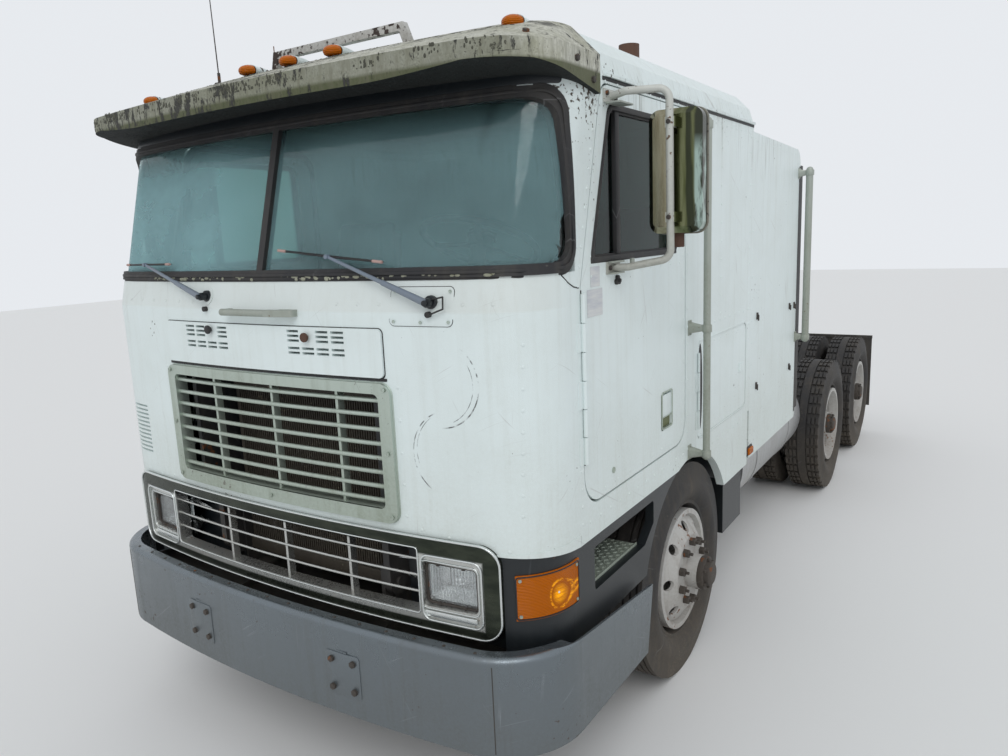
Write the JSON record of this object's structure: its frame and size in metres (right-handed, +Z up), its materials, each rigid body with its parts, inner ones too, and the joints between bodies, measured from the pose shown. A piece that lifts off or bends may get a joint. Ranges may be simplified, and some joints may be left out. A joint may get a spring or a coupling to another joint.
{
  "type": "semi truck tractor unit",
  "caption": "Cab-over tractor unit with sleeper cab: tilting cab, opening doors, steered front wheels, twin driven rear axles and a rocking coupling plate.",
  "frame": {"origin": "middle of the bounding box at the road", "axes": "+Z up, +Y towards the rear, +X towards the driver's side (left when facing forwards)"},
  "size_m": [2.876, 6.75, 3.172],
  "materials": {
    "white_paint": "semi-gloss, weathered",
    "visor_paint": "faded, lichen",
    "black_paint": "satin",
    "frame_paint": "chassis black",
    "bumper_steel": "dull",
    "chrome_trim": "pitted chrome",
    "grille_aluminium": "satin",
    "tank_aluminium": "dull",
    "rail_aluminium": "weathered",
    "mirror_steel": "stainless",
    "tinted_glass": "tinted",
    "lamp_glass": "ribbed",
    "amber_lens": "ribbed",
    "red_lens": "ribbed",
    "black_rubber": "matt",
    "tyre_rubber": "dusty",
    "wheel_paint": "weathered",
    "cast_parts": "greasy",
    "rusty_steel": "rust",
    "radiator_core": "dusty black",
    "cab_trim": "grained",
    "seat_cloth": "woven",
    "bunk_vinyl": "vinyl"
  },
  "bodies": {
    "chassis": {"frame_rails": "frame_paint", "front_bumper": "bumper_steel", "radiator": "radiator_core", "engine": "cast_parts", "propeller_shafts": "cast_parts", "drive_axles": "cast_parts", "rear_suspension": "cast_parts", "front_axle": "cast_parts", "fuel_tanks": "tank_aluminium", "battery_box": "black_paint", "air_tanks": "frame_paint", "deck_plate": "rail_aluminium", "exhaust_stack": "rusty_steel", "mud_flaps": "black_rubber", "tail_lamps": "red_lens"},
    "fifth_wheel": {"fifth_wheel_plate": "cast_parts"},
    "cab": {"floor": "frame_paint", "nose_panel": "white_paint", "side_walls": "white_paint", "rear_wall": "white_paint", "roof": "white_paint", "windscreen_glass": "tinted_glass", "windscreen_seal": "black_rubber", "visor": "visor_paint", "marker_lamps": "amber_lens", "roof_bar": "white_paint", "upper_grille": "grille_aluminium", "lower_grille": "chrome_trim", "headlamps": "lamp_glass", "corner_lamps": "amber_lens", "corner_panels": "black_paint", "dashboard": "cab_trim", "steering_wheel": "cab_trim", "seats": "seat_cloth", "bunk": "bunk_vinyl", "side_fairings": "white_paint", "grab_rails": "rail_aluminium", "wipers": "black_paint"},
    "door_left": {"door_left": "white_paint", "door_glass_left": "tinted_glass", "mirror_left": "mirror_steel"},
    "hatch_left": {"luggage_door_left": "white_paint"},
    "steer_left": {"knuckle_left": "cast_parts"},
    "wheel_front_left": {"tyre_front_left": "tyre_rubber", "rim_front_left": "wheel_paint"},
    "wheel_rear_left_1": {"twin_tyres_left_1": "tyre_rubber", "twin_rims_left_1": "wheel_paint"},
    "wheel_rear_left_2": {"twin_tyres_left_2": "tyre_rubber", "twin_rims_left_2": "wheel_paint"},
    "door_right": {"door_right": "white_paint", "door_glass_right": "tinted_glass", "mirror_right": "mirror_steel"},
    "hatch_right": {"luggage_door_right": "white_paint"},
    "steer_right": {"knuckle_right": "cast_parts"},
    "wheel_front_right": {"tyre_front_right": "tyre_rubber", "rim_front_right": "wheel_paint"},
    "wheel_rear_right_1": {"twin_tyres_right_1": "tyre_rubber", "twin_rims_right_1": "wheel_paint"},
    "wheel_rear_right_2": {"twin_tyres_right_2": "tyre_rubber", "twin_rims_right_2": "wheel_paint"}
  },
  "joints": [
    {"name": "cab_tilt", "type": "hinge", "parent": "chassis", "child": "cab", "pos_m": [0, -3.115, 0.86], "axis": [1, 0, 0], "range_deg": [0, 45]},
    {"name": "fifth_wheel_rock", "type": "hinge", "parent": "chassis", "child": "fifth_wheel", "pos_m": [0, 1.845, 1.112], "axis": [1, 0, 0], "range_deg": [-12, 12]},
    {"name": "door_left_hinge", "type": "hinge", "parent": "cab", "child": "door_left", "pos_m": [1.153, -2.8675, 1.63], "axis": [0, 0, -1], "range_deg": [0, 70]},
    {"name": "hatch_left_hinge", "type": "hinge", "parent": "cab", "child": "hatch_left", "pos_m": [1.151, -1.7275, 1.36], "axis": [0, 0, -1], "range_deg": [0, 85]},
    {"name": "steer_left", "type": "hinge", "parent": "chassis", "child": "steer_left", "pos_m": [0.83, -1.805, 0.51], "axis": [0, 0, 1], "range_deg": [-32, 32]},
    {"name": "wheel_front_left_spin", "type": "hinge", "parent": "steer_left", "child": "wheel_front_left", "pos_m": [0.99, -1.805, 0.51], "axis": [1, 0, 0], "continuous": true},
    {"name": "wheel_rear_left_1_spin", "type": "hinge", "parent": "chassis", "child": "wheel_rear_left_1", "pos_m": [0.915, 1.285, 0.51], "axis": [1, 0, 0], "continuous": true},
    {"name": "wheel_rear_left_2_spin", "type": "hinge", "parent": "chassis", "child": "wheel_rear_left_2", "pos_m": [0.915, 2.605, 0.51], "axis": [1, 0, 0], "continuous": true},
    {"name": "door_right_hinge", "type": "hinge", "parent": "cab", "child": "door_right", "pos_m": [-1.153, -2.8675, 1.63], "axis": [0, 0, 1], "range_deg": [0, 70]},
    {"name": "hatch_right_hinge", "type": "hinge", "parent": "cab", "child": "hatch_right", "pos_m": [-1.151, -1.7275, 1.36], "axis": [0, 0, 1], "range_deg": [0, 85]},
    {"name": "steer_right", "type": "hinge", "parent": "chassis", "child": "steer_right", "pos_m": [-0.83, -1.805, 0.51], "axis": [0, 0, 1], "range_deg": [-32, 32]},
    {"name": "wheel_front_right_spin", "type": "hinge", "parent": "steer_right", "child": "wheel_front_right", "pos_m": [-0.99, -1.805, 0.51], "axis": [1, 0, 0], "continuous": true},
    {"name": "wheel_rear_right_1_spin", "type": "hinge", "parent": "chassis", "child": "wheel_rear_right_1", "pos_m": [-0.915, 1.285, 0.51], "axis": [1, 0, 0], "continuous": true},
    {"name": "wheel_rear_right_2_spin", "type": "hinge", "parent": "chassis", "child": "wheel_rear_right_2", "pos_m": [-0.915, 2.605, 0.51], "axis": [1, 0, 0], "continuous": true}
  ],
  "couplings": [
    {"joint": "steer_right", "follows": "steer_left", "ratio": 1}
  ]
}
